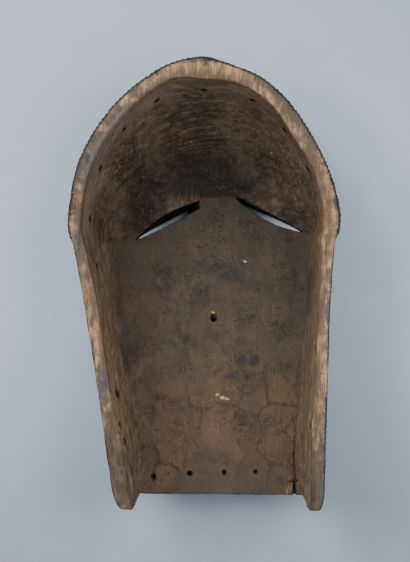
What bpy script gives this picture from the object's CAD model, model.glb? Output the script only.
# A hollow wooden kifwebe face mask, lying on its face with the hollow up, seen from above.
# The carving is worked out here as one fine surface on the same dimensions as the solid part.
# Millimetres until the mesh is made. A depth is counted down from the level back rim towards the face.
import math
from types import SimpleNamespace
import bpy
import numpy as np
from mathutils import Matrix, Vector


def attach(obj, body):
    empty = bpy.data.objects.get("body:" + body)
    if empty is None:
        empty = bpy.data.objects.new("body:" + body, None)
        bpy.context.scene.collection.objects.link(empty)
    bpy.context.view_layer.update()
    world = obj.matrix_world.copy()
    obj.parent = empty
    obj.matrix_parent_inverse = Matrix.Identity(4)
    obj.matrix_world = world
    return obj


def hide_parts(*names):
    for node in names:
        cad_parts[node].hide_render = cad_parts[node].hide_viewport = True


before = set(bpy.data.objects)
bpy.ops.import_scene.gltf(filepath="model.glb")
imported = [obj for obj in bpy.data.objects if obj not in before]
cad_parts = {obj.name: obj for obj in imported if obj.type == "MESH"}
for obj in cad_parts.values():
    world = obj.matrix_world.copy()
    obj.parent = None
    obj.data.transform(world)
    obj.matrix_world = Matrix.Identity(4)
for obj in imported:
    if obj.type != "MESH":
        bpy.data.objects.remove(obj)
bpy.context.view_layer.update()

# Driving dimensions, the same as the solid part's
FULL_DEPTH = 178.0
BOTTOM_Y = -227.0
DOME_X, DOME_Y = -1.0, 100.0
CHEEK_Y = -60.0
CROWN_EXTRA_WALL, CROWN_SPREAD = 7.0, 12.0
LEFT_EDGE = [
    (-240, -76), (-227, -84), (-220, -88.5), (-205, -93), (-118, -105.5), (-16, -121.5), (32, -130.5),
    (44, -133.4), (55, -135.6), (74, -135.6), (100, -131.5),
]
RIGHT_EDGE = [
    (-240, 113), (-227, 117.5), (-220, 120), (-205, 121.5), (-118, 124), (-16, 127.5), (32, 131),
    (44, 132.4), (56, 135.6), (74, 135.6), (100, 129.5),
]
DOME_EDGE = [
    (0, 130.5), (15, 122), (30, 118), (45, 119), (60, 121), (75, 122.2), (90, 126.6), (105, 125),
    (120, 120.5), (135, 119.2), (150, 120.5), (165, 124.5), (180, 130.5),
]
# The rim's width down each side, as measured along y, and how far the hollow's walls lean in, as a share
LEFT_WALL = [
    (-240, 14.5), (-227, 14.5), (-200, 17), (-150, 15.5), (-118, 13.5), (-60, 14), (-16, 14.5), (14, 12.5),
    (44, 12), (100, 13),
]
RIGHT_WALL = [
    (-240, 13), (-227, 13), (-190, 14.5), (-148, 14.5), (-76, 13.5), (-30, 12), (14, 12.5), (60, 15.5),
    (100, 15),
]
DOME_WALL = dict(right=15, left=13)
LEFT_LEAN = [
    (-240, -0.06), (-224, -0.06), (-204, 0.01), (-190, 0.03), (-160, 0.045), (-121, 0.04), (-80, 0.02),
    (-49, 0.005), (-16, 0.02), (34, 0.09), (100, 0.08),
]
RIGHT_LEAN = [
    (-240, 0.07), (-215, 0.075), (-160, 0.12), (-121, 0.105), (-49, 0.07), (-16, 0.05), (34, 0.04),
    (100, 0.06),
]
MIDDLE_LINE = [(-227, 12), (-118, 6), (-30, 3.5), (60, 7), (92, 7.5), (150, 2), (227, -1)]
OUTSIDE = dict(forehead=172, top=151, bottom=143, lean=(0.03, 0.07), cheek=7.5, temple=4, crown=2.3)
HOLLOW = dict(forehead=148, top=136, bottom=129, cheek=12, temple=3.2, crown=1.9)
CHIN_SQUARE = 24            # the hollow's corners get sharper towards the chin
PLATE_LENGTH, FOREHEAD_SWEEP = 275.0, 62.0
BROW_LIFT, TEMPLE_STEP = 6.0, 0.6
BROW_LINE = [
    (-150, 36), (-110, 42), (-81, 49.5), (-46, 69), (-12, 86), (8, 92), (27, 92), (64, 72), (100, 54.5),
    (150, 38),
]
NOSE = dict(top=98, tip=-20, top_width=18, tip_width=48, ridge=9, tip_depth=171, top_flank=150, flank=158,
            slant=7)
MOUTH = dict(y=-92, width=78, height=46, corner=9, slot_width=54, slot_height=9, slot_depth=24)
BAND = dict(width=17, proud=8, start=86)
LID = dict(out=62, y=63, length=96, height=46, proud=19, sunk=5, tilt=28)
ROOT_DEPTH = 138            # where the nose and the mouth start, inside the plate
# How far each form is rounded into the next
JOIN = dict(brow=5.0, band=3.0, nose=4.0, lid=3.0, mouth=5.0, lips=2.5, slot=1.5, slit=0.8,
            rim=3.0, chin=2.4, rest=1.0)
SLIT_HOLLOW_DEPTH, SLIT_LID_DEPTH = 136.0, 163.0
SLITS = [
    (dict(inner=(-11.7, 86), outer=(-82, 46.5), over=8.5, under=-2.5, end=4.3),
     dict(inner=(-29, 76), outer=(-83, 48.5), over=2.4, under=-5.6, end=1.7)),
    (dict(inner=(27, 93.7), outer=(101, 54.5), over=1.5, under=-6.5, end=1.2),
     dict(inner=(40, 81), outer=(101.5, 54), over=2.4, under=-6, end=0.9)),
]
LACING_RADIUS = 2.1
HOLE_REACH = 30             # how far each way from its middle a drilled hole goes
SIDE_LACING = [(68.5, 45), (20.5, 45), (-143, 20), (-161, 34), (-193, 48)]
DOME_LACING = [(91, 46), (119, 46), (144.5, 46), (170, 46), (61, 46), (35.5, 46), (10, 46)]
CHIN_LACING = [(-61.5, -208), (-22.5, -205), (15, -203.5), (48.5, -203)]
CHIN_SLANT = 0.4
BREATH_HOLE = dict(x=3, y=-38, radius=3.4, slant=0.7)

# What the tools and the years left
EDGE_ROUND, FOOT_ROUND, SHOULDER_ROUND = 2.4, 3.2, 8.0
SHOULDER_ANGLE = 142        # where the left of the crown is worn round, from the dome's centre
GROOVE_PITCH, GROOVE_DEPTH = 5.6, 1.15
CHIP_DEPTH, SPLIT_DEPTH, TORN_DEPTH = 1.5, 2.4, 2.5
SPLIT = dict(x=90.5, high=-150, cross_y=-212, cross=(83, 96))
TORN_PLACE = dict(y=-113.5, depth=50, half_length=7, half_height=16, wander=6)
# The tool cuts in the hollow: their width and length, the seed of their places and how they run out
ADZE = dict(width=31, length=36, seed=11, tail=0.45)
DOME_GOUGE = dict(width=8.5, length=46, seed=17)
SCRAPER = dict(width=12, length=70, seed=23)
# Small chips of pale wood, as x, y, a size and a strength
PALE_CHIPS = [
    (7, -119.5, 1.8, 0.9), (13, -123, 2.4, 1), (18.5, -124.5, 1.3, 0.8), (2.6, -31, 1.9, 0.9),
    (33, 26, 1.5, 0.6), (37.5, 24, 1.7, 0.8), (44.7, -148, 1.3, 0.62), (12, -167, 1.3, 0.6),
    (66, 139, 1.5, 0.66), (40, 125, 1.3, 0.62), (52, -137, 1.2, 0.6), (125.5, 16, 1.3, 1),
    (91, 90, 1.3, 0.6), (-25, 166, 1.5, 0.55),
]
# Every table of soft patches from here holds x, y, two half widths and a strength.
# The first is the dark stains on the plate
DARK_PATCHES = [
    (-42, 4, 18, 12, 0.6), (12, 14, 18, 11, 0.75), (34, 11, 10, 12, 0.6), (-14, -15, 18, 6, 0.5),
    (-29, -61, 17, 6, 0.5), (22, -72, 14, 7, 0.55), (45, -82, 11, 5, 0.7), (28, -99, 12, 6, 0.55),
    (-86, -76, 8, 20, 0.5), (36, -150, 26, 9, 0.2), (88, 10, 8, 40, 0.4), (88, -60, 6, 30, 0.25),
    (39, -138, 9, 9, 0.6), (34, -156, 8, 8, 0.5), (-32, -160, 13, 11, 0.3),
]
# The upper edge of the grey stain at the chin, as x and y
STAIN_TOP = [
    (-60, -232), (-31, -200), (-26, -188), (-12, -180), (5, -179), (20, -186), (31, -194), (43, -198),
    (57, -190), (68, -203), (92, -216),
]
# Where the soot is thickest
SOOTY = [
    (-4, 126, 62, 30, 0.72), (-80, 70, 26, 30, 0.5), (4, 101, 62, 13, 0.55), (84, 66, 20, 18, 0.45),
]
# How light the cuts are in a few places, with a tone for the strength
CUT_TONES = [
    (72, -143, 20, 26, 0.9), (-52, -152, 18, 26, 0.82), (-52, -205, 20, 14, 0.68), (5, -149, 26, 22, 0.4),
]
# Where the tops of the side walls are rubbed pale
RUBBED_WALLS = [(125, 56, 20, 46, 0.65), (-93, -140, 18, 50, 0.5)]
# Reddish wood in the dome
RUSSET = [
    (72, 108, 28, 24, 0.65), (20, 130, 30, 8, 0.5), (-30, 152, 28, 9, 0.6), (-95, 60, 12, 30, 0.5),
]
# Torn, light fibres, as x, y, depth, three half widths and a strength
FRAYED = [
    (109, -122, 18, 11, 34, 26, 1.2), (-97, -60, 40, 12, 60, 45, 0.65), (112, -40, 30, 10, 60, 30, 0.45),
    (-108, 60, 60, 16, 40, 50, 0.5), (-93, -150, 30, 12, 46, 36, 0.7), (-104, -22, 4, 5, 9, 9, 1.0),
    (87, -221, 130, 5, 8, 14, 1.0), (50, 150, 60, 60, 40, 60, 0.25), (-60, 140, 60, 60, 50, 60, 0.25),
    (-92, 112, 70, 12, 16, 26, 0.8), (-34, 94, 128, 20, 7, 16, 0.22), (96, 112, 80, 22, 44, 50, 0.4),
]
# Dirt and grey, weathered wood on the rim
DIRTY_RIM = [
    (-113, 124, 16, 24, 1.5), (-94, 146, 14, 18, 1.3), (-128, 76, 12, 34, 1.0), (-128, 28, 6, 9, 0.4),
    (-111, -85, 5, 12, 0.5), (-101, -96, 6, 16, 0.9), (-80, 172, 16, 10, 0.5), (124, 88, 6, 12, 0.3),
    (91, 165, 3, 5, 1.0), (72, 182, 26, 20, 0.35), (100, 140, 14, 26, 0.3), (123, -165, 6, 34, 0.6),
    (124, -40, 4, 30, 0.4), (-8, 226, 16, 3.5, 0.8),
]
GREY_RIM = [
    (-117, 127, 8, 12, 1.1), (-84, 158, 8, 8, 0.95), (-124.5, 54, 3, 13, 1.1), (-126, 36, 4, 8, 0.9),
    (-99, -100, 7, 18, 0.8), (-101, -150, 4, 34, 0.5), (120, -185, 6, 36, 0.7), (127, 0, 3.5, 40, 0.6),
    (125, -80, 3, 50, 0.5), (-126, 10, 5, 16, 0.6),
]
# Where the left of the rim is rubbed down to pale wood
RUBBED_RIM = [
    (-102, 157, 7, 5, 1.0), (-126, 89, 5, 12, 1.0), (-131, 99, 3, 6, 0.8), (-131, 61, 4.5, 10, 1.0),
    (-121, 14, 4, 14, 0.8), (-72, 184, 16, 6, 0.6),
]

HALF_WIDTH = 125.0          # turns a share of the plan into millimetres near the rim
GRID = 1.35                 # the spacing of the grid that the surface is found on
GRID_ENDS = [(-142, 142.1), (-232, 232.1), (-5, 183.1)]
TRIANGLES = 190000
SHARP = math.radians(55)


def curve_through(points):
    """A smooth curve through (position, value) points, for arrays."""
    p = np.array(points, float)
    s, v = p[:, 0], p[:, 1]
    lo = np.maximum(np.arange(len(p)) - 1, 0)
    hi = np.minimum(np.arange(len(p)) + 1, len(p) - 1)
    slope = (v[hi] - v[lo]) / (s[hi] - s[lo])

    def at(x):
        x = np.asarray(x, float)
        i = np.clip(np.searchsorted(s, x, side="left") - 1, 0, len(s) - 2)
        span = s[i + 1] - s[i]
        t = np.clip((x - s[i]) / span, 0, 1)
        t2, t3 = t * t, t * t * t
        return ((2 * t3 - 3 * t2 + 1) * v[i] + (t3 - 2 * t2 + t) * span * slope[i]
                + (3 * t2 - 2 * t3) * v[i + 1] + (t3 - t2) * span * slope[i + 1])

    return at


left_edge, right_edge = curve_through(LEFT_EDGE), curve_through(RIGHT_EDGE)
left_wall, right_wall = curve_through(LEFT_WALL), curve_through(RIGHT_WALL)
left_lean, right_lean = curve_through(LEFT_LEAN), curve_through(RIGHT_LEAN)
dome_edge, middle_line = curve_through(DOME_EDGE), curve_through(MIDDLE_LINE)
brow_line, stain_top = curve_through(BROW_LINE), curve_through(STAIN_TOP)


def ramp(x, low, high):
    t = np.clip((x - low) / (high - low), 0, 1)
    return t * t * (3 - 2 * t)


def fade(x, low, high):
    return 1 - ramp(x, low, high)


def lerp(a, b, t):
    return a + (b - a) * t


def bell(x, middle, half):
    """One at the middle, and falling off softly to both sides."""
    return np.exp(-((x - middle) / half) ** 2)


def soft_max(a, b, r):
    h = np.clip(0.5 + 0.5 * (a - b) / r, 0, 1)
    return b + (a - b) * h + r * h * (1 - h)


def soft_min(a, b, r):
    return -soft_max(-a, -b, r)


def dome_angle(x, y):
    """The direction from the dome's centre, in degrees: 0 to the right, 90 to the crown."""
    return np.degrees(np.arctan2(np.maximum(y - DOME_Y, 0), x - DOME_X))


def plan_share(x, y, hollow, spread=0.0):
    """Where a place in plan lies between the line of centres (0) and the rim's edge (1), with how square
    the section is there and how far it leans in."""
    skin = HOLLOW if hollow else OUTSIDE
    left, right = left_edge(y), right_edge(y)
    centre = (left + right) / 2
    across = x - centre
    angle = dome_angle(x, y)
    reach = dome_edge(angle) + spread
    if hollow:
        thick_left, thick_right = left_wall(y), right_wall(y)
        join = lerp(DOME_WALL["right"], DOME_WALL["left"], ramp(angle, 0, 180))
        reach = reach - join - CROWN_EXTRA_WALL * bell(angle, 90, CROWN_SPREAD)
        lean_left, lean_right = left_lean(y), right_lean(y)
    else:
        thick_left, thick_right = -spread, -spread
        lean_left, lean_right = skin["lean"]
    half = np.where(across < 0, centre - left - thick_left, right - thick_right - centre)
    out = np.hypot(x - DOME_X, y - DOME_Y)
    in_dome = y >= DOME_Y
    share = np.where(in_dome, out / reach, np.abs(across) / half)
    rise = np.sin(np.radians(angle))
    square_dome = lerp(skin["temple"], skin["crown"], np.maximum(rise, 0) ** 0.8)
    square_side = lerp(skin["cheek"], skin["temple"], ramp(y, CHEEK_Y, DOME_Y))
    if hollow:
        square_side = lerp(CHIN_SQUARE, square_side, ramp(y, -222, -150))
    square = np.where(in_dome, square_dome, square_side)
    lean = np.where(np.where(in_dome, x - DOME_X, across) < 0, lean_left, lean_right)
    lean = lean * np.where(in_dome, 1 - rise, 1)
    return share, square, lean


def plate_depth(skin, y):
    return lerp(skin["bottom"], skin["top"], np.clip((y - BOTTOM_Y) / PLATE_LENGTH, 0, 1))


def skin_field(x, y, q, hollow, depth, spread=0.0):
    """Below zero inside the skin, and above zero outside it. Not yet a distance."""
    share, square, lean = plan_share(x, y, hollow, spread)
    down = np.maximum(q, 0) / depth
    side = np.maximum(share / (1 - lean * down), 1e-4)
    down = np.maximum(down, 1e-4)
    return ((side ** square + down ** square) ** (1 / square) - 1).astype(np.float32)


def hollow_depth(x, y):
    above = ramp(y - brow_line(x), 0, FOREHEAD_SWEEP)
    return lerp(plate_depth(HOLLOW, y), HOLLOW["forehead"], above)


def as_distance(field, step):
    """The field divided by its slope, so that it is in millimetres near the skin."""
    gx, gy, gz = np.gradient(field, step)
    slope = np.sqrt(gx * gx + gy * gy + gz * gz)
    return field / np.maximum(slope, 1e-4)


def slit_edge(shape, t):
    """The heights of a slit's two edges at a share t along it."""
    upper = (1 - t) ** 2 * shape["end"] + 2 * t * (1 - t) * (2 * shape["over"] - shape["end"] / 2)
    lower = -(1 - t) ** 2 * shape["end"] + 2 * t * (1 - t) * (2 * shape["under"] + shape["end"] / 2)
    return upper, lower


def slit_distance(x, y, q, slit):
    """The seeing slit: straight through the hollow's skin, narrowing and falling on its way out."""
    hollow, lid = slit
    w = np.maximum(q - SLIT_HOLLOW_DEPTH, 0) / (SLIT_LID_DEPTH - SLIT_HOLLOW_DEPTH)
    x0, x1 = (lerp(hollow[k][0], lid[k][0], w) for k in ("inner", "outer"))
    y0, y1 = (lerp(hollow[k][1], lid[k][1], w) for k in ("inner", "outer"))
    length = np.hypot(x1 - x0, y1 - y0)
    ux, uy = (x1 - x0) / length, (y1 - y0) / length
    turn = math.copysign(1.0, hollow["outer"][0] - hollow["inner"][0])
    along = (x - x0) * ux + (y - y0) * uy
    up = (-(x - x0) * uy + (y - y0) * ux) * turn
    t = np.clip(along / length, 0, 1)
    near, far = slit_edge(hollow, t), slit_edge(lid, t)
    upper, lower = (lerp(near[k], far[k], w) for k in (0, 1))
    sides = np.maximum(up - upper, lower - up)
    # Cut off upright at the inner end
    return np.maximum(sides, np.maximum((x0 - x) * turn, along - length)).astype(np.float32)


def off_axis(x, y, q, at, along):
    """The distance from a drilled hole's axis, and the distance along it."""
    d = np.array(along, float)
    d /= np.linalg.norm(d)
    px, py, pq = x - at[0], y - at[1], q - at[2]
    run = px * d[0] + py * d[1] + pq * d[2]
    return np.sqrt(np.maximum(px * px + py * py + pq * pq - run * run, 0)), run


def lacing():
    """Every drilled hole, as its place, its direction and its radius."""
    holes = []
    for y, depth in SIDE_LACING:
        for side, edge in ((-1, left_edge), (1, right_edge)):
            holes.append(((float(edge(y)), y, depth), (side, 0, 0), LACING_RADIUS))
    for degrees, depth in DOME_LACING:
        c, s = math.cos(math.radians(degrees)), math.sin(math.radians(degrees))
        reach = float(dome_edge(degrees))
        holes.append(((DOME_X + reach * c, DOME_Y + reach * s, depth), (c, s, 0), LACING_RADIUS))
    for x, y in CHIN_LACING:
        holes.append(((x, y, HOLLOW["bottom"]), (0, CHIN_SLANT, 1), LACING_RADIUS))
    slant = (0, -BREATH_HOLE["slant"], 1)
    holes.append(((BREATH_HOLE["x"], BREATH_HOLE["y"], HOLLOW["top"]), slant, BREATH_HOLE["radius"]))
    return holes


def nose_foot(y):
    """How far down the nose a place is, as a share, and half the nose's width there."""
    t = np.clip((NOSE["top"] - y) / (NOSE["top"] - NOSE["tip"]), 0, 1)
    return t, lerp(NOSE["top_width"], NOSE["tip_width"], t) / 2


def nose_solid(x, y, q):
    """A wedge with a flat ridge, broadest at its tip."""
    t, foot = nose_foot(y)
    flank = lerp(NOSE["top_flank"], NOSE["flank"], t)
    ridge_depth = lerp(OUTSIDE["forehead"], NOSE["tip_depth"], t)
    rise = np.clip((q - flank) / (ridge_depth - flank), 0, 1.2)
    half = lerp(foot, NOSE["ridge"] / 2, rise)
    sides = (np.abs(x - middle_line(y)) - half) * 0.75
    out = np.clip((q - ROOT_DEPTH) / (NOSE["tip_depth"] - ROOT_DEPTH), 0, 1.1)
    tip = NOSE["tip"] - NOSE["slant"] + NOSE["slant"] * out - y
    nose = soft_max(soft_max(sides, q - ridge_depth, 3.0), soft_max(tip, y - NOSE["top"], 2.0), 4.0)
    return soft_max(nose, ROOT_DEPTH - q, 1.0).astype(np.float32)


def on_lid(x, y, side, margin=0):
    """Where a place in plan lies along and across a lid, as shares of its half length and half height."""
    tilt = math.radians(-side * LID["tilt"])
    c, s = math.cos(tilt), math.sin(tilt)
    dx, dy = x - (float(middle_line(LID["y"])) + side * LID["out"]), y - LID["y"]
    return (dx * c + dy * s) / (LID["length"] / 2 + margin), (-dx * s + dy * c) / (LID["height"] / 2 + margin)


def lid_solid(x, y, q, side):
    """Half an egg on the face, tilted as its slit is."""
    half = (LID["length"] / 2, LID["height"] / 2, LID["proud"])
    u, v = on_lid(x, y, side)
    w = (q - OUTSIDE["top"] + LID["sunk"]) / half[2]
    k = np.sqrt(u * u + v * v + w * w)
    slope = np.sqrt((u / half[0]) ** 2 + (v / half[1]) ** 2 + (w / half[2]) ** 2)
    return (k * (k - 1) / np.maximum(slope, 1e-4)).astype(np.float32)


def mouth_edge(x, y):
    """The distance in plan from the mouth's rounded outline."""
    dx = np.abs(x - float(middle_line(MOUTH["y"]))) - MOUTH["width"] / 2 + MOUTH["corner"]
    dy = np.abs(y - MOUTH["y"]) - MOUTH["height"] / 2 + MOUTH["corner"]
    within = np.minimum(np.maximum(dx, dy), 0)
    return np.hypot(np.maximum(dx, 0), np.maximum(dy, 0)) + within - MOUTH["corner"]


def carved_field():
    """The whole mask on a grid: its distance field and the grid's three axes."""
    xs, ys, qs = (np.arange(low, high, GRID) for low, high in GRID_ENDS)
    x, y, q = xs[:, None, None], ys[None, :, None], qs[None, None, :]

    face = as_distance(skin_field(x, y, q, False, plate_depth(OUTSIDE, y)), GRID)
    fore = as_distance(skin_field(x, y, q, False, float(OUTSIDE["forehead"]), TEMPLE_STEP), GRID)
    brow = ((brow_line(x) + BROW_LIFT - y) * 0.9).astype(np.float32)
    block = soft_min(face, soft_max(fore, brow, JOIN["brow"]), JOIN["brow"])
    proud = BAND["proud"] * np.clip(q / OUTSIDE["forehead"], 0, 1)
    beside_band = np.abs(x - float(middle_line(DOME_Y + 40))) - BAND["width"] / 2
    band = soft_max(fore - proud, beside_band, JOIN["band"])
    block = soft_min(block, soft_max(band, BAND["start"] - y, JOIN["band"]), JOIN["band"])
    block = soft_min(block, nose_solid(x, y, q), JOIN["nose"])
    for side in (-1, 1):
        block = soft_min(block, lid_solid(x, y, q, side), JOIN["lid"])
    mouth = soft_max(mouth_edge(x, y), ROOT_DEPTH - q, 1.0)
    mouth = soft_max(mouth, q - FULL_DEPTH, JOIN["lips"]).astype(np.float32)
    block = soft_min(block, mouth, JOIN["mouth"])
    slot = np.maximum(np.abs(x - float(middle_line(MOUTH["y"]))) - MOUTH["slot_width"] / 2,
                      np.abs(y - MOUTH["y"]) - MOUTH["slot_height"] / 2)
    slot = np.maximum(slot, FULL_DEPTH - MOUTH["slot_depth"] - q)
    block = soft_max(block, -slot.astype(np.float32), JOIN["slot"])

    # Cut level at the rim, under the chin and where it rests
    block = soft_max(block, -q, JOIN["rim"])
    block = soft_max(block, BOTTOM_Y - y, JOIN["chin"])
    block = soft_max(block, q - FULL_DEPTH, JOIN["rest"])

    # The hollow's edge is sharp along the sides, and worn round at the feet and on the left of the crown
    hollow = as_distance(skin_field(x, y, q, True, hollow_depth(x, y)), GRID)
    foot = fade(y, -222, -205) * fade(q, 8, 30)
    shoulder = bell(dome_angle(x, y), SHOULDER_ANGLE, 30) * (y > DOME_Y)
    round_edge = EDGE_ROUND + (FOOT_ROUND - EDGE_ROUND) * foot + (SHOULDER_ROUND - EDGE_ROUND) * shoulder
    mask = soft_max(block, -hollow, round_edge.astype(np.float32))
    for slit in SLITS:
        mask = soft_max(mask, -slit_distance(x, y, q, slit), JOIN["slit"])
    for at, along, radius in lacing():
        near = [(np.abs(axis - centre) < HOLE_REACH + 4).nonzero()[0]
                for axis, centre in zip((xs, ys, qs), at)]
        i, j, k = (slice(n[0], n[-1] + 1) for n in near)
        off, run = off_axis(x[i], y[:, j], q[:, :, k], at, along)
        hole = np.maximum(off - radius, np.abs(run) - HOLE_REACH)
        mask[i, j, k] = np.maximum(mask[i, j, k], -hole)
    return mask, xs, ys, qs


CORNERS = [(i, j, k) for i in (0, 1) for j in (0, 1) for k in (0, 1)]
CELL_EDGES = [(a, b) for a in range(8) for b in range(a + 1, 8)
              if sum(abs(p - q) for p, q in zip(CORNERS[a], CORNERS[b])) == 1]


def surface_net(field, axes):
    """The field's zero surface as vertices and quads that face outwards."""
    inside = field < 0
    count = np.zeros(tuple(n - 1 for n in field.shape), np.uint8)
    for i, j, k in CORNERS:
        count += inside[i:field.shape[0] - 1 + i, j:field.shape[1] - 1 + j, k:field.shape[2] - 1 + k]
    cells = np.argwhere((count > 0) & (count < 8))
    number = np.full(count.shape, -1, np.int32)
    number[tuple(cells.T)] = np.arange(len(cells))
    values = [field[tuple((cells + corner).T)] for corner in CORNERS]
    total, crossings = np.zeros((len(cells), 3)), np.zeros(len(cells))
    for a, b in CELL_EDGES:
        cross = (values[a] < 0) != (values[b] < 0)
        gap = np.where(cross, values[a] - values[b], 1)
        t = np.where(cross, values[a] / gap, 0)[:, None]
        ca, cb = np.array(CORNERS[a]), np.array(CORNERS[b])
        total += np.where(cross[:, None], ca + t * (cb - ca), 0)
        crossings += cross
    place = cells + total / crossings[:, None]
    vertices = np.stack([axes[n][0] + place[:, n] * (axes[n][1] - axes[n][0]) for n in range(3)], 1)
    quads = []
    for axis in range(3):
        near, far = [slice(None)] * 3, [slice(None)] * 3
        near[axis], far[axis] = slice(0, -1), slice(1, None)
        change = inside[tuple(near)] != inside[tuple(far)]
        at = np.argwhere(change)
        b, c = [n for n in range(3) if n != axis]
        within = [(at[:, n] > 0) & (at[:, n] < field.shape[n] - 1) for n in (b, c)]
        at = at[within[0] & within[1]]
        ring = []
        for db, dc in ((-1, -1), (0, -1), (0, 0), (-1, 0)):
            cell = at.copy()
            cell[:, b] += db
            cell[:, c] += dc
            ring.append(number[tuple(cell.T)])
        quad = np.stack(ring, 1)
        outward = inside[tuple(at.T)]
        flip = outward if axis == 1 else ~outward
        quad[flip] = quad[flip][:, ::-1]
        quads.append(quad)
    return vertices, np.concatenate(quads)


def noise(points, cell, seed):
    """Smooth noise from -1 to 1 with features about a cell wide. cell is one size, or one for each axis."""
    rng = np.random.default_rng(seed)
    size = 40
    table = rng.uniform(-1, 1, (size, size, size))
    p = points / np.asarray(cell, float) + 200.0
    base = np.floor(p).astype(int)
    f = p - base
    f = f * f * (3 - 2 * f)
    value = 0
    for i, j, k in CORNERS:
        corner = table[(base[:, 0] + i) % size, (base[:, 1] + j) % size, (base[:, 2] + k) % size]
        value = value + corner * (f[:, 0] if i else 1 - f[:, 0]) * (f[:, 1] if j else 1 - f[:, 1]) * (
            f[:, 2] if k else 1 - f[:, 2])
    return value


def tool_cuts(u, v, width, length, seed, tail=1.0):
    """Overlapping scoops, longer along v. How deep each place is cut, about 1 at a cut's middle and 0 at its
    edge, the distance to that edge in millimetres, and a random share that is the same all over one cut.
    Below a tail of 1 a cut starts steeply at its upper end and runs out flat at its lower end."""
    rng = np.random.default_rng(seed)
    size = 64
    jitter = rng.uniform(-0.3, 0.3, (size, size, 2))
    spread = rng.uniform(0.65, 1.5, (size, size))
    lift = rng.uniform(-0.3, 0.3, (size, size))
    tone = rng.uniform(0, 1, (size, size))
    column = np.floor(u / width).astype(int)
    best, second = np.full(u.shape, -9.0), np.full(u.shape, -9.0)
    cut_tone = np.full(u.shape, 0.5)
    for c in (column - 1, column, column + 1):
        offset = (c % 2) * 0.5
        row = np.floor(v / length - offset).astype(int)
        for r in (row - 1, row, row + 1):
            key = (c % size, r % size)
            du = (u / width - c - 0.5 - jitter[key][..., 0]) * 2
            dv = (v / length - r - 0.5 - offset - jitter[key][..., 1]) * 2
            dv = dv + (1 - tail)
            cut = 1 + lift[key] - (du * du + dv * dv * np.where(dv > 0, (2 - tail) ** 2, tail)) / spread[key]
            cut_tone = np.where(cut > best, tone[key], cut_tone)
            second = np.where(cut > best, best, np.maximum(second, cut))
            best = np.maximum(best, cut)
    return best, (best - second) * width / 8, cut_tone


def vertex_normals(vertices, faces):
    a, b, c = (vertices[faces[:, n]] for n in (0, 1, 2))
    normal = np.cross(b - a, c - a)
    total = np.zeros_like(vertices)
    for n in range(faces.shape[1]):
        for axis in range(3):
            total[:, axis] += np.bincount(faces[:, n], normal[:, axis], len(vertices))
    return total / np.maximum(np.linalg.norm(total, axis=1, keepdims=True), 1e-9)


def patch(p, x, y, rx, ry):
    """A soft oval patch in plan, 1 at its middle."""
    return np.exp(-((p[:, 0] - x) / rx) ** 2 - ((p[:, 1] - y) / ry) ** 2)


def laid(p, table):
    """The soft patches of a table, all together."""
    return sum(strength * patch(p, x, y, rx, ry) for x, y, rx, ry, strength in table)


def hollow_share(p):
    """One in the hollow and on its skin, nought outside it."""
    x, y, q = p.T
    field = skin_field(x, y, q, True, hollow_depth(x, y))
    return fade(field, 0.03, 0.05)


def grooves(p):
    """The cut grooves of the outside, 1 at the bottom of each. The nose, lids, band and mouth have none."""
    x, y, q = p.T
    across = x - middle_line(y)
    above_brow = y - brow_line(x)
    # On the forehead they follow the brow and then fan out to the rim, and on the cheeks they run round it
    fan = np.degrees(np.arctan2(x - 5, y - 20)) * 0.62
    forehead = np.where(above_brow < 41, above_brow / (GROOVE_PITCH + 0.4), fan)
    sag = 0.0016 * across ** 2 * ramp(q, 60, 150)
    phase = np.where(above_brow > BROW_LIFT, forehead, (y + sag) / GROOVE_PITCH)
    strength = ramp(np.abs(across), BAND["width"] / 2 + 1, BAND["width"] / 2 + 4)
    _, foot = nose_foot(y)
    beside_nose = ramp(np.abs(across), foot + 1, foot + 5)
    strength *= np.where((y < NOSE["top"]) & (y > NOSE["tip"] - 12) & (q > 120), beside_nose, 1)
    strength *= np.where(q > 120, ramp(mouth_edge(x, y), 1, 5), 1)
    for side in (-1, 1):
        u, v = on_lid(x, y, side, 3)
        strength *= np.where(q > 130, ramp(np.hypot(u, v), 0.9, 1.05), 1)
    return (1 - np.abs(np.sin(np.pi * phase)) ** 0.7) * strength


def split_line(p):
    """The split beside the chin: 1 in it, and less where it closes."""
    x, y, q = p.T
    wander = 0.35 * np.sin(y / 9) + 0.15 * np.sin(y / 2.6)
    open_share = fade(y, SPLIT["high"] - 14, SPLIT["high"] + 16)
    wide = 1.2 + 0.6 * fade(y, SPLIT["cross_y"] - 3, SPLIT["cross_y"] + 3)
    line = fade(np.abs(x - SPLIT["x"] - wander), wide - 0.9, wide) * open_share
    left, right = SPLIT["cross"]
    middle, half = (left + right) / 2, (right - left) / 2
    cross = fade(np.abs(y - SPLIT["cross_y"] - 0.12 * (x - middle)), 0.5, 1.5)
    return np.maximum(line, cross * fade(np.abs(x - middle), half - 2, half)) * (q > 110)


def torn_place(p):
    """The place in the left wall where the wood is torn out, 1 at its middle."""
    x, y, q = p.T
    along = (y - TORN_PLACE["y"]) / TORN_PLACE["half_length"]
    down = (q - TORN_PLACE["depth"] - TORN_PLACE["wander"] * np.sin(y / 5)) / TORN_PLACE["half_height"]
    return np.exp(-along ** 2 - down ** 2) * (x < 0)


def roughness_of_dome(p):
    """How roughly the dome is gouged: smooth below the rim and uneven further down."""
    return ramp(p[:, 2], 28, 92) * lerp(0.3, 1, ramp(noise(p, 32, 57), -0.35, 0.25))


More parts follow.
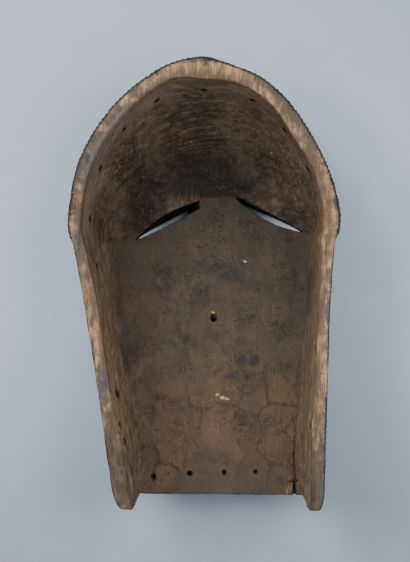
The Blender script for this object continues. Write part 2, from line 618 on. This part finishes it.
def cuts_inside(p, up):
    """The tool cuts in the hollow: how deep each place is cut in millimetres, how close a cut's edge is, and
    the random tone of the cut."""
    x, y, q = p.T
    flat = ramp(up, 0.35, 0.75)
    in_dome = ramp(y - brow_line(x), -6, 8)
    low = fade(y, -135, -70)
    bent = 3.5 * noise(p, 22, 51)
    adze, adze_edge, adze_tone = tool_cuts(x + bent, y - 0.6 * bent, **ADZE)
    along, across = x * 0.98 + y * 0.18, y * 0.98 - x * 0.18 - q
    strayed = 6 * noise(p, 28, 59)
    gouged, gouged_edge, gouged_tone = tool_cuts(across + strayed, along + strayed, **DOME_GOUGE)
    rough = roughness_of_dome(p)
    scraped, scraped_edge, _ = tool_cuts(q * 1.3, y, **SCRAPER)
    plate, dome, wall = adze * lerp(0.45, 1.0, low), gouged * 1.1 * rough, scraped * 0.45
    not_wall = np.maximum(flat, in_dome * ramp(np.abs(up), 0.1, 0.4))
    depth = lerp(wall, lerp(plate, dome, in_dome), not_wall)
    kept = ramp(noise(p, 20, 53), -0.45, 0.15)
    edge = bell(adze_edge, 0, 0.6) * lerp(0.4, 1, low) * kept * (1 - in_dome) * flat
    edge = np.maximum(edge, bell(gouged_edge, 0, 0.7) * 0.5 * in_dome * rough)
    edge = np.maximum(edge, bell(scraped_edge, 0, 0.8) * 0.35 * (1 - flat) * (1 - in_dome))
    tone = lerp(0.5, lerp(adze_tone, gouged_tone, in_dome), np.maximum(flat * lerp(0.3, 1, low), in_dome))
    return depth, edge, tone


def relief(p, up):
    """How far each vertex moves along its normal for the tool marks and the wear."""
    x, y, q = p.T
    inside = hollow_share(p)
    at_foot = fade(y, -215, -190) * fade(q, 12, 30)
    worn = lerp(0.5, 1, ramp(noise(p, 25, 43), -0.4, 0.2))
    cut = grooves(p) * lerp(lerp(0.45, 0.85, ramp(y, 0, 90)) * worn, 1, ramp(q, 1, 14))
    outer = -GROOVE_DEPTH * cut * (1 - at_foot) + 0.25 * noise(p, 14, 3)
    at_rim = fade(q, 0.6, 6)
    from_edge = (1 - plan_share(x, y, False)[0]) * HALF_WIDTH
    chipped = ramp(noise(p, (11, 11, 16), 41), 0.35, 0.75) * fade(from_edge, 2, 5)
    outer = outer + at_rim * (0.35 * noise(p, 9, 5) - CHIP_DEPTH * chipped)
    depth, _, _ = cuts_inside(p, up)
    inner = -depth + 0.3 * noise(p, (22, 40, 22), 7) + 0.12 * noise(p, (3, 9, 3), 9)
    inner += 0.3 * noise(p, (3.2, 30, 3.2), 10) * fade(up, 0.3, 0.75)
    inner -= SPLIT_DEPTH * split_line(p) + TORN_DEPTH * torn_place(p)
    return lerp(outer, inner, inside)


def pale_chips(p):
    """Small chips that show the pale wood: strongest at a chip's middle, and a half near its edge."""
    return np.clip(sum(s * patch(p, cx, cy, size * 1.6, size) for cx, cy, size, s in PALE_CHIPS), 0, 1)


def kept_detail(p, up):
    """Where the mesh stays at its finest: the slits, holes, split, chips and edges of the adze cuts."""
    x, y, q = p.T
    keep = np.zeros(len(p), bool)
    for slit in SLITS:
        keep |= (slit_distance(x, y, q, slit) < 2.0) & (q > SLIT_HOLLOW_DEPTH - 8)
    for at, along, radius in lacing():
        off, run = off_axis(x, y, q, at, along)
        keep |= (off < radius + 1.6) & (np.abs(run) < HOLE_REACH)
    keep |= split_line(p) > 0.02
    inside = hollow_share(p) > 0.5
    keep |= (pale_chips(p) > 0.15) & inside
    keep |= (cuts_inside(p, up)[1] > 0.25) & (up > 0.6) & (y < -60) & inside
    return keep


field, *axes = carved_field()
points, quads = surface_net(field, axes)
del field
outward = vertex_normals(points, quads)
steepness = -outward[:, 2]
fine_places = kept_detail(points, steepness)
points = points + outward * relief(points, steepness)[:, None]
# From depths to heights, which turns the faces round
points[:, 2] = np.clip(FULL_DEPTH - points[:, 2], 0, FULL_DEPTH)
quads = quads[:, ::-1]


def mesh_object(name, vertices, faces):
    mesh = bpy.data.meshes.new(name)
    mesh.vertices.add(len(vertices))
    mesh.vertices.foreach_set("co", (vertices / 1000).astype(np.float32).ravel())
    corners = faces.shape[1]
    mesh.loops.add(faces.size)
    mesh.loops.foreach_set("vertex_index", faces.astype(np.int32).ravel())
    mesh.polygons.add(len(faces))
    mesh.polygons.foreach_set("loop_start", np.arange(0, faces.size, corners, dtype=np.int32))
    mesh.update(calc_edges=True)
    mesh.validate()
    made = bpy.data.objects.new(name, mesh)
    bpy.context.scene.collection.objects.link(made)
    return made


mask = mesh_object("carved_mask_wood", points, quads)
free = mask.vertex_groups.new(name="free_to_thin")
free.add(np.nonzero(~fine_places)[0].tolist(), 1.0, "REPLACE")
thin = mask.modifiers.new("thin", "DECIMATE")
thin.ratio = TRIANGLES / (2 * len(quads))
thin.vertex_group = free.name
depsgraph = bpy.context.evaluated_depsgraph_get()
thinned = bpy.data.meshes.new_from_object(mask.evaluated_get(depsgraph))
mask.modifiers.clear()
mask.data = thinned
mask.data.name = "carved_mask_wood"
mask.data.shade_smooth()
mask.data.set_sharp_from_angle(angle=SHARP)


def vertex_places(mesh):
    """Every vertex's place and slope, with the noises and the borders that several finishes share."""
    count = len(mesh.vertices)
    p, normal = np.empty(count * 3, np.float32), np.empty(count * 3, np.float32)
    mesh.vertices.foreach_get("co", p)
    mesh.vertices.foreach_get("normal", normal)
    p = p.reshape(-1, 3).astype(float) * 1000
    p[:, 2] = FULL_DEPTH - p[:, 2]
    x, y, q = p.T
    up = normal.reshape(-1, 3)[:, 2].astype(float)
    inside = hollow_share(p)
    fine, broad = noise(p, 6, 31), noise(p, 24, 33)
    return SimpleNamespace(
        p=p, x=x, y=y, q=q, up=up, inside=inside, fine=fine, broad=broad,
        drawn=noise(p, (3.5, 28, 3.5), 39),
        from_edge=(1 - plan_share(x, y, False)[0]) * HALF_WIDTH,
        top=fade(q + 1.5 * fine, lerp(1.6, 0.8, inside), lerp(3.5, 13.0, inside)),
        in_dome=ramp(y - brow_line(x) + 0.8 * fine, -1.5, 4),
        low=fade(y, -150, -60) * ramp(q, 90, 125),
        wall=fade(up, 0.3, 0.75) * inside,
        rubbed_wall=laid(p, RUBBED_WALLS) * inside,
    )


def rim_finish(v):
    """The rim's pale wood, brightest near the outer edge, with its dirt, its grey and its bleached end."""
    x, y, q, fine, broad, top = v.x, v.y, v.q, v.fine, v.broad, v.top
    from_hollow = skin_field(x, y, 0 * q, True, hollow_depth(x, y)) * HALF_WIDTH
    across = v.from_edge / np.maximum(v.from_edge + np.maximum(from_hollow, 0), 1)
    # Right of the crown it is brightest along the hollow instead
    across = lerp(across, 1.05 - across, ramp(x, 25, 70) * ramp(y, 120, 150))
    bare = top * ramp(v.from_edge + 0.7 * fine + 0.7 * broad, 0.2, 1.7)
    rim = bare * (1 - 0.92 * ramp(across + 0.25 * v.drawn + 0.15 * broad, 0.22, 0.88))
    rim += 0.3 * top * bell(from_hollow, 0.5, 1.5) * ramp(fine, -0.2, 0.4)
    rim *= lerp(0.7, 1, ramp(noise(v.p, (17, 30, 17), 35), -0.45, 0.1))
    # It is bleached towards the chin
    down_side = y + 14 * broad
    weathered = np.where(x < 0, fade(down_side, -175, -95), fade(down_side, -205, -145))
    rim *= 1 - 0.75 * weathered
    dirt = np.clip(laid(v.p, DIRTY_RIM) * (1 + 0.7 * fine + 0.5 * broad), 0, 0.95)
    rubbed = np.clip(laid(v.p, RUBBED_RIM), 0, 1)
    rim = np.maximum(rim * (1 - dirt), bare * ramp(rubbed + 0.25 * fine, 0.35, 0.7))
    rim = np.maximum(rim, v.rubbed_wall * fade(q + 16 * v.drawn, 30, 110))

    worn = noise(v.p, (20, 34, 20), 37) + 0.3 * ramp(x, 40, 100)
    worn_edge = fade(v.from_edge, 2, 6) * ramp(worn, -0.1, 0.35)
    grey = np.clip(laid(v.p, GREY_RIM), 0, 1) * fade(q, 3, 14)
    painted = (1 - v.inside) * (1 - bare)
    return dict(
        rim=rim, dirt=dirt * top, grey=np.maximum(grey, 0.75 * worn_edge * top),
        lip=bare * ramp(across + 0.2 * v.drawn + 0.1 * broad, 0.3, 0.9),
        weathered=weathered * np.maximum(0.3 * v.wall, top) * ramp(v.up, -0.3, 0),
        painted=painted, groove=grooves(v.p) * painted * ramp(q, 3, 14),
    )


def dome_finish(v):
    """The gouged dome with its soot, its reddish wood, its smooth places and its worn left shoulder."""
    p, x, y, q, broad, in_dome = v.p, v.x, v.y, v.q, v.broad, v.in_dome
    deep = ramp(q, 85, 128)
    under_crown = fade(y + 6 * broad, 125, 175)
    corner = ramp(x + 8 * v.fine, -108, -74) * fade(x, -72, -40) * ramp(y, 40, 60) * under_crown
    soot = in_dome * (0.33 * under_crown * ramp(q, 60, 110) + (laid(p, SOOTY) + 0.12 * corner) * deep)
    # Some of it lies below the brow and high on the walls
    soot += (0.45 * ramp(y, -60, 90) + 0.1 * ramp(y, 50, 95)) * (1 - in_dome) * deep
    upper_sides = 0.3 * patch(p, 68, 150, 42, 38) + 0.18 * patch(p, -52, 158, 34, 26)
    soot += upper_sides * ramp(q, 5, 20) * (1 - deep) * in_dome
    soot += 0.28 * ramp(y, -30, 60) * fade(y, 90, 130) * ramp(q, 8, 34) * (1 - deep)

    shoulder = bell(dome_angle(x, y), SHOULDER_ANGLE, 26) * (y > DOME_Y) * v.inside
    dome = in_dome * v.inside * ramp(q, 3, 12)
    rough = roughness_of_dome(p)
    smooth = (1 - rough) * fade(x, 20, 70) + 0.5 * patch(p, 4, 190, 34, 16)
    return dict(
        soot=soot * (1 - v.rubbed_wall), russet=laid(p, RUSSET) * ramp(q, 40, 80) * in_dome,
        shoulder=shoulder * fade(q + 7 * v.fine + 16 * broad, 10, 75),
        dome=dome, rough=dome * rough, smooth=dome * smooth,
    )


def plate_finish(v):
    """The plate behind the face with its warm lower end, its stains and the dirt along the cuts."""
    p, x, y, q, up, broad, low = v.p, v.x, v.y, v.q, v.up, v.broad, v.low
    warm = low + 0.5 * patch(p, 66, -125, 26, 45) * low + 0.4 * patch(p, -60, -112, 18, 16)
    stain = laid(p, DARK_PATCHES) * (1 + 0.5 * broad + 0.35 * v.fine)
    stain += 0.45 * bell(y - stain_top(x), -3, 3) * (x > -31)
    chin_stain = fade(y - stain_top(x), -1.5, 1.5)
    _, seam, cut_tone = cuts_inside(p, up)
    for cx, cy, rx, ry, tone in CUT_TONES:
        cut_tone = lerp(cut_tone, tone, 0.8 * patch(p, cx, cy, rx, ry))
    # Dirt has gathered along the foot of the side walls
    foot_line = ramp(up, 0.1, 0.3) * fade(up, 0.5, 0.8) * ramp(q, 90, 118)
    foot_line *= (1 - v.in_dome) * ramp(y + 12 * broad, -130, -60) * (1 + 0.6 * broad)
    seam = np.maximum(seam, 0.6 * foot_line)
    return dict(
        plate=(1 - v.in_dome) * (1 - v.wall) * v.inside * ramp(q, 50, 100), wall=v.wall,
        warm=warm * (1 - v.wall) * v.inside, stain=stain * ramp(up, 0.4, 0.8) * (q > 100),
        chin_stain=chin_stain * low, seam=seam * v.inside * (1 - 0.6 * chin_stain * low), cut_tone=cut_tone,
    )


def damage_finish(v):
    """Torn fibres and pale chips, and the dark of the split, the torn place, the slits and the holes."""
    x, y, q = v.x, v.y, v.q
    frayed = sum(s * np.exp(-((x - cx) / rx) ** 2 - ((y - cy) / ry) ** 2 - ((q - cq) / rq) ** 2)
                 for cx, cy, cq, rx, ry, rq, s in FRAYED)
    below_cross = fade(y, SPLIT["cross_y"] - 3, SPLIT["cross_y"] + 3)
    split = split_line(v.p) * lerp(0.7, 1, below_cross)
    pit = np.maximum(split, 0.95 * ramp(torn_place(v.p), 0.35, 0.7))
    for slit in SLITS:
        in_slit = fade(slit_distance(x, y, q, slit), 0.5, 1.3)
        pit = np.maximum(pit, in_slit * ramp(q - hollow_depth(x, y), 0.2, 2.0))
    for at, along, radius in lacing():
        off, run = off_axis(x, y, q, at, along)
        # The lacing holes are worn ragged, least at the chin, and the breath hole is less dark
        darkness, ragged = (1.0, 1.5 - 1.4 * along[2]) if radius == LACING_RADIUS else (0.75, 0.0)
        dark = fade(off + 1.8 * v.fine, radius - 0.4 + ragged, radius + 1 + ragged)
        pit = np.maximum(pit, darkness * dark * (np.abs(run) < HOLE_REACH))
    return dict(frayed=frayed, pale=pale_chips(v.p) * (v.up > 0.1), pit=pit)


def finish_masks(mesh):
    """Where each finish lies, worked out for every vertex of the finished surface and kept on the mesh."""
    v = vertex_places(mesh)
    for finish in (rim_finish, dome_finish, plate_finish, damage_finish):
        for name, values in finish(v).items():
            kept = mesh.attributes.new(name, "FLOAT", "POINT")
            kept.data.foreach_set("value", np.clip(values, 0, 1).astype(np.float32))


finish_masks(mask.data)


# Materials
def seen(red, green, blue):
    """A colour as the eye sees it, each part from 0 to 255, turned into the light that it sends back."""
    parts = [c / 255 for c in (red, green, blue)]
    return (*[((c + 0.055) / 1.055) ** 2.4 if c > 0.04045 else c / 12.92 for c in parts], 1.0)


class Bench:
    """Places nodes in one tree and joins them. A colour is a socket, or red, green and blue as the eye sees
    them. A share is a socket, a number, or the name of a finish mask that is kept on the mesh."""

    def __init__(self, tree):
        self.tree = tree
        self.count = 0
        self.masks = {}

    def put(self, kind, settings=None, **inputs):
        node = self.tree.nodes.new(kind)
        node.location = (200 * (self.count % 12) - 1200, -220 * (self.count // 12))
        self.count += 1
        for name, value in (settings or {}).items():
            setattr(node, name, value)
        for name, value in inputs.items():
            self.feed(node.inputs[int(name[1:]) if name[0] == "_" else name.replace("_", " ")], value)
        return node

    def feed(self, socket, value):
        if isinstance(value, bpy.types.NodeSocket):
            self.tree.links.new(value, socket)
        else:
            socket.default_value = seen(*value) if socket.type == "RGBA" else value

    def mask(self, name):
        if name not in self.masks:
            self.masks[name] = self.put("ShaderNodeAttribute", {"attribute_name": name}).outputs["Fac"]
        return self.masks[name]

    def sum(self, operation, a, b=0.0, clamp=False):
        return self.put("ShaderNodeMath", {"operation": operation, "use_clamp": clamp}, _0=a, _1=b).outputs[0]

    def product(self, *shares):
        first, *others = [self.mask(share) if isinstance(share, str) else share for share in shares]
        for other in others:
            first = self.sum("MULTIPLY", first, other)
        return first

    def remap(self, value, low, high, to_low=0.0, to_high=1.0):
        node = self.put("ShaderNodeMapRange", {"interpolation_type": "SMOOTHSTEP"})
        for name, given in zip(("Value", "From Min", "From Max", "To Min", "To Max"),
                               (value, low, high, to_low, to_high)):
            self.feed(node.inputs[name], given)
        return node.outputs["Result"]

    def blend(self, below, above, *shares):
        """A colour over another, where all of the shares are large."""
        node = self.put("ShaderNodeMix", {"data_type": "RGBA", "clamp_factor": True})
        self.feed(node.inputs["Factor"], self.product(*shares))
        self.feed(node.inputs[6], below)
        self.feed(node.inputs[7], above)
        return node.outputs[2]

    def coats(self, colour, *rows):
        """Coats laid over a colour one after another, each row a coat's colour and its shares."""
        for above, *shares in rows:
            colour = self.blend(colour, above, *shares)
        return colour

    def noise(self, size, detail=3.0, distortion=0.0, place=None):
        """Noise in the object's own space. size is a feature's size in millimetres along x, y and z."""
        place = place or self.put("ShaderNodeTexCoord").outputs["Object"]
        scale = tuple(1000 / s for s in size)
        scaled = self.put("ShaderNodeMapping", Vector=place, Scale=scale).outputs["Vector"]
        node = self.put("ShaderNodeTexNoise", Vector=scaled, Scale=1.0, Detail=detail, Distortion=distortion)
        return node.outputs["Fac"]


def node_group(name, inputs, outputs, kind="NodeSocketFloat"):
    """An empty group. An input is its name, kind and default value. The outputs are all of one kind."""
    tree = bpy.data.node_groups.new(name, "ShaderNodeTree")
    for label, its_kind, default in inputs:
        tree.interface.new_socket(label, in_out="INPUT", socket_type=its_kind).default_value = default
    for label in outputs:
        tree.interface.new_socket(label, in_out="OUTPUT", socket_type=kind)
    bench = Bench(tree)
    return bench, bench.put("NodeGroupInput").outputs, bench.put("NodeGroupOutput").inputs


def noise_group(name, rows, turn=0.0):
    """A group of masks made of noise. A row is a mask's name, the size of its marks, the noise's detail and
    distortion, and the two values of the noise between which the mask comes up."""
    bench, _, out = node_group(name, [], [row[0] for row in rows])
    place = bench.put("ShaderNodeTexCoord").outputs["Object"]
    if turn:
        place = bench.put("ShaderNodeMapping", Vector=place, Rotation=(0.0, 0.0, turn)).outputs["Vector"]
    for label, size, detail, distortion, low, high in rows:
        bench.feed(out[label], bench.remap(bench.noise(size, detail, distortion, place), low, high))
    return bench.tree


# Wood grain that runs along the mask, from broad streaks down to fibres
WOOD_GRAIN = noise_group("wood_grain", [
    ("Streaks", (5, 70, 5), 4, 0.3, 0.32, 0.68),
    ("Fibres", (0.9, 16, 0.9), 3, 0.2, 0.3, 0.7),
    ("Splinters", (1.5, 22, 1.5), 4, 0.5, 0.52, 0.66),
])
# Long scraped marks that run across the dome and rise a little to the right, with crumbs and pits
SCRAPE_MARKS = noise_group("scrape_marks", [
    ("Marks", (34, 7, 8), 5, 1.6, 0.4, 0.62),
    ("Hairs", (22, 2.4, 3.4), 4, 1.6, 0.63, 0.74),
    ("Crumbs", (2.2, 1.8, 2.0), 4, 0.6, 0.57, 0.68),
    ("Pits", (5.5, 3.4, 3.8), 4, 1.0, 0.47, 0.34),
], turn=math.radians(-13))
# Uneven handling and dirt: patches a few centimetres wide, blots of a few millimetres, and grit
MOTTLING = noise_group("mottling", [
    ("Patches", (34, 42, 34), 3, 0.8, 0.36, 0.64),
    ("Blots", (8, 11, 8), 4, 0.5, 0.34, 0.66),
    ("Grit", (1.6, 1.9, 1.6), 2, 0.0, 0.3, 0.7),
])


def plate_wear_group():
    """Fine wear of the plate: short, curved hair cracks, light scratches and rosy places."""
    bench, _, out = node_group("plate_wear", [], ["Cracks", "Scratches", "Rosy"])
    line = bench.sum("ABSOLUTE", bench.sum("SUBTRACT", bench.noise((15, 13, 15), 4, 1.6), 0.5))
    some = bench.remap(bench.noise((24, 20, 24), 2, 0.5), 0.47, 0.56)
    bench.feed(out["Cracks"], bench.product(bench.remap(line, 0.0, 0.022, 1.0, 0.0), some))
    bench.feed(out["Scratches"], bench.remap(bench.noise((7, 1.6, 5), 3, 2.0), 0.64, 0.72))
    bench.feed(out["Rosy"], bench.remap(bench.noise((18, 22, 18), 3, 0.5), 0.48, 0.62))
    return bench.tree


def worn_layer_group():
    """A layer over another, whose edge is broken up by a noise."""
    colours = [(label, "NodeSocketColor", (0.5, 0.5, 0.5, 1)) for label in ("Below", "Above")]
    values = [(label, "NodeSocketFloat", 0.5) for label in ("Share", "Noise", "Raggedness")]
    bench, given, out = node_group("worn_layer", colours + values, ["Colour"], "NodeSocketColor")
    shift = bench.product(bench.sum("SUBTRACT", given["Noise"], 0.5), given["Raggedness"])
    # The noise only counts where there is something to break up
    edge = bench.product(given["Share"], bench.sum("SUBTRACT", 1.0, given["Share"]), 4.0)
    share = bench.sum("ADD", given["Share"], bench.product(shift, edge), clamp=True)
    bench.feed(out["Colour"], bench.blend(given["Below"], given["Above"], share))
    return bench.tree


PLATE_WEAR, WORN_LAYER = plate_wear_group(), worn_layer_group()


def use_group(bench, tree):
    return bench.put("ShaderNodeGroup", {"node_tree": tree})


def layer(bench, below, above, shares, speckle, raggedness):
    """A worn layer over a colour, where all of its shares are large, broken up at its edge by a speckle."""
    node = use_group(bench, WORN_LAYER)
    for socket, value in zip(node.inputs, (below, above, bench.product(*shares), speckle, raggedness)):
        bench.feed(socket, value)
    return node.outputs["Colour"]


def new_material(name):
    """A material, its shader and a bench for its nodes."""
    made = bpy.data.materials.new(name)
    made.use_nodes = True
    return made, made.node_tree.nodes["Principled BSDF"], Bench(made.node_tree)


def wood_marks(bench):
    """Every mark of the wood's groups, under its name in small letters."""
    groups = [use_group(bench, tree) for tree in (WOOD_GRAIN, MOTTLING, SCRAPE_MARKS, PLATE_WEAR)]
    return SimpleNamespace(**{mark.name.lower(): mark for group in groups for mark in group.outputs})


def hollow_wood(bench, m):
    """The brown plate, the pale walls and the gouged and sooty dome, with their stains and torn fibres."""
    plate = bench.coats(
        bench.blend((78, 70, 60), (90, 79, 65), m.patches),
        ((58, 50, 46), m.blots, 0.22),
        ((112, 98, 80), m.grit, m.blots, 0.35),
        ((98, 79, 68), m.rosy, "plate", 0.35),
    )
    plate = layer(bench, plate, (110, 87, 69), ("warm", 0.8), m.patches, 0.8)
    light_cut, dark_cut = (bench.remap(bench.mask("cut_tone"), *ends) for ends in ((0.55, 0.9), (0.45, 0.1)))
    wall = bench.coats(
        bench.blend((166, 144, 120), (126, 106, 86), m.streaks),
        ((116, 80, 58), m.patches, 0.4),
        ((62, 49, 38), m.fibres, m.blots, 0.8),
        ((200, 166, 124), m.splinters, m.patches, 0.7),
    )
    dome = bench.blend((130, 114, 97), (100, 86, 73), m.blots)
    hollow = bench.coats(
        plate,
        ((118, 92, 71), light_cut, 0.25),
        ((66, 55, 46), dark_cut, 0.3),
        (wall, "wall", 0.9),
        ((56, 45, 38), m.fibres, 0.28),
        ((46, 38, 32), m.cracks, "plate", 0.4),
        ((140, 120, 96), m.scratches, "plate", 0.5),
        (dome, "dome", 0.8),
        ((172, 152, 131), "smooth", 0.45),
        ((54, 44, 37), m.patches, "dome", 0.4),
        ((54, 44, 37), m.blots, "rough", 0.5),
        ((46, 38, 32), m.marks, "rough", 0.6),
        ((100, 60, 42), "russet", m.blots, 0.75),
        ((22, 17, 13), "soot", 0.95),
        ((20, 16, 13), m.pits, "dome", m.patches, 0.75),
        ((160, 142, 118), m.crumbs, "rough", m.patches, 0.55),
        ((136, 114, 88), m.hairs, "rough", 0.35),
    )
    hollow = layer(bench, hollow, (54, 50, 50), ("stain", 0.75), m.blots, 0.7)
    return bench.coats(
        hollow,
        ((82, 72, 62), "chin_stain", 0.75),
        ((206, 166, 116), "frayed", m.splinters, 0.95),
        ((45, 35, 29), "seam", 0.75),
    )


def rim_wood(bench, m, wood):
    """The tan rim with its dirt, laid over the hollow's wood, then what the weather bleached and greyed."""
    rim = bench.coats(
        (186, 148, 106),
        ((136, 104, 76), m.streaks, 0.8),
        ((228, 196, 154), m.fibres, m.patches, 0.5),
        ((108, 86, 66), m.blots, m.patches, 0.7),
        ((96, 74, 54), m.grit, m.blots, 0.7),
    )
    wood = bench.blend(wood, (92, 74, 57), "lip", 0.85)
    wood = layer(bench, wood, rim, ("rim",), m.fibres, 0.8)
    dirt = bench.sum("SUBTRACT", bench.product("dirt", 0.9), bench.mask("rim"), clamp=True)
    wood = layer(bench, wood, (96, 86, 78), (dirt,), m.grit, 0.7)
    wood = bench.blend(wood, (56, 50, 48), "dirt", m.blots, 0.55)
    bleached = bench.blend((96, 83, 65), (66, 56, 44), m.streaks)
    bleached = bench.blend(bleached, (58, 48, 38), m.fibres, m.blots, 0.8)
    wood = layer(bench, wood, bleached, ("weathered", 0.85), m.blots, 0.6)
    wood = layer(bench, wood, (86, 82, 81), ("grey", 0.8), m.blots, 0.9)
    wood = bench.blend(wood, (52, 53, 58), bench.remap(bench.mask("grey"), 0.7, 0.95), m.streaks, 0.8)
    return layer(bench, wood, (134, 123, 119), ("shoulder", 0.55), m.blots, 0.5)


def outside_wood(bench, m, wood):
    """Black outside with pale dust in the cuts, then the pale chips and the dark of the holes over all."""
    outside = bench.blend((34, 28, 25), (58, 46, 38), m.patches)
    outside = layer(bench, outside, (136, 127, 114), ("groove", 0.5), m.blots, 1.1)
    wood = layer(bench, wood, outside, ("painted",), m.grit, 0.7)
    torn = bench.sum("ADD", bench.mask("pale"), bench.product(bench.sum("SUBTRACT", m.grit, 0.5), 0.35))
    wood = bench.blend(wood, (200, 170, 126), bench.remap(torn, 0.45, 0.75, 0.0, 0.9))
    return bench.blend(wood, (8, 6, 5), "pit")


def surface_height(bench, m):
    """Fibres and grit everywhere, hair cracks in the plate, and crumbs and pits in the dome."""
    height = bench.sum("ADD", bench.product(m.fibres, 0.6), bench.product(m.grit, 0.4))
    height = bench.sum("SUBTRACT", height, bench.product(m.cracks, bench.product("plate", 1.5)))
    crust = bench.sum("SUBTRACT", m.crumbs, m.pits)
    return bench.sum("ADD", height, bench.product(crust, bench.product("dome", 1.2)))


def mask_wood():
    """Dry, handled wood: brown and sooty in the hollow, tan on the rim, black with pale dust outside."""
    made, shader, bench = new_material("mask_wood")
    m = wood_marks(bench)
    wood = outside_wood(bench, m, rim_wood(bench, m, hollow_wood(bench, m)))
    bench.feed(shader.inputs["Base Color"], wood)
    worn_smooth = bench.remap(m.blots, 0, 1, 0.62, 0.82)
    bench.feed(shader.inputs["Roughness"], bench.sum("MAXIMUM", worn_smooth, bench.mask("pit")))
    bump = bench.put("ShaderNodeBump", Strength=0.6, Distance=0.0008, Height=surface_height(bench, m))
    bench.feed(shader.inputs["Normal"], bump.outputs["Normal"])
    shader.inputs["Specular IOR Level"].default_value = 0.25
    return made


def backdrop_paper():
    """Pale blue-grey paper that is a little darker towards the chin and in the far corner."""
    made, shader, bench = new_material("backdrop_paper")
    mottled = use_group(bench, MOTTLING).outputs
    place = bench.put("ShaderNodeTexCoord").outputs["Object"]
    along = bench.put("ShaderNodeSeparateXYZ", Vector=place).outputs
    far_corner = bench.remap(bench.sum("ADD", along["X"], along["Y"]), 0.3, 0.56, 0.0, 0.5)
    paper = bench.coats(
        (154, 164, 176),
        ((194, 208, 225), bench.remap(along["Y"], -0.32, 0.0)),
        ((180, 193, 208), bench.remap(along["Y"], 0.06, 0.26, 0.0, 0.8)),
        ((158, 169, 184), far_corner),
        ((172, 184, 199), mottled["Patches"], 0.15),
    )
    bench.feed(shader.inputs["Base Color"], paper)
    shader.inputs["Roughness"].default_value = 0.9
    return made


mask.data.materials.clear()
mask.data.materials.append(mask_wood())
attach(mask, "root")
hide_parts("carved_mask")

# The floor, the lights and the camera
FLOOR = 6000.0                # from the mask's middle to the floor's edges
corners = [(-FLOOR, -FLOOR, 0), (FLOOR, -FLOOR, 0), (FLOOR, FLOOR, 0), (-FLOOR, FLOOR, 0)]
floor = mesh_object("floor", np.array(corners), np.array([(0, 1, 2, 3)]))
floor.data.materials.append(backdrop_paper())


def soft_light(name, place, target, size, power):
    """A soft light of a width and a depth in metres, turned to its target."""
    data = bpy.data.lights.new(name, "AREA")
    data.shape = "RECTANGLE"
    data.size, data.size_y = size
    data.energy = power
    made = bpy.data.objects.new(name, data)
    made.location = place
    made.rotation_euler = (Vector(target) - Vector(place)).to_track_quat("-Z", "Y").to_euler()
    bpy.context.scene.collection.objects.link(made)


soft_light("key", (-1.1, 0.8, 2.0), (0, 0, 0.1), (1.4, 1.4), 46)
soft_light("fill", (1.1, 0.5, 2.1), (0, 0, 0.1), (1.4, 1.4), 28)
soft_light("chin_side", (0.1, -1.2, 1.7), (0, 0.1, 0.05), (1.0, 0.8), 4)
# The backdrop is lit under the seeing slits too
soft_light("under_left_slit", (-0.078, 0.050, 0.010), (-0.078, 0.050, 0), (0.04, 0.02), 0.0012)
soft_light("under_right_slit", (0.085, 0.060, 0.010), (0.085, 0.060, 0), (0.06, 0.02), 0.0019)

world = bpy.data.worlds.new("studio")
world.use_nodes = True
background = world.node_tree.nodes["Background"]
background.inputs["Color"].default_value = (0.9, 0.95, 1.0, 1)
background.inputs["Strength"].default_value = 0.45
bpy.context.scene.world = world

# The camera stands above the mask, a little to the right, and looks down into the hollow
VIEW_HEIGHT = 1.7             # above the rim
VIEW_FRAME = 0.562            # how much of the rim's plane the picture spans from top to bottom
VIEW_X, VIEW_Y = 0.098, 0.003
LOOKS_AT_X = 0.0015
SENSOR = 24
camera_data = bpy.data.cameras.new("camera")
camera_data.sensor_fit = "VERTICAL"
camera_data.sensor_height = SENSOR
camera_data.lens = SENSOR * VIEW_HEIGHT / VIEW_FRAME
camera_data.clip_start = 0.01
camera = bpy.data.objects.new("camera", camera_data)
camera.location = (VIEW_X, VIEW_Y, FULL_DEPTH / 1000 + VIEW_HEIGHT)
camera.rotation_euler = (0, math.atan2(camera.location.x - LOOKS_AT_X, VIEW_HEIGHT), 0)
bpy.context.scene.collection.objects.link(camera)
bpy.context.scene.camera = camera
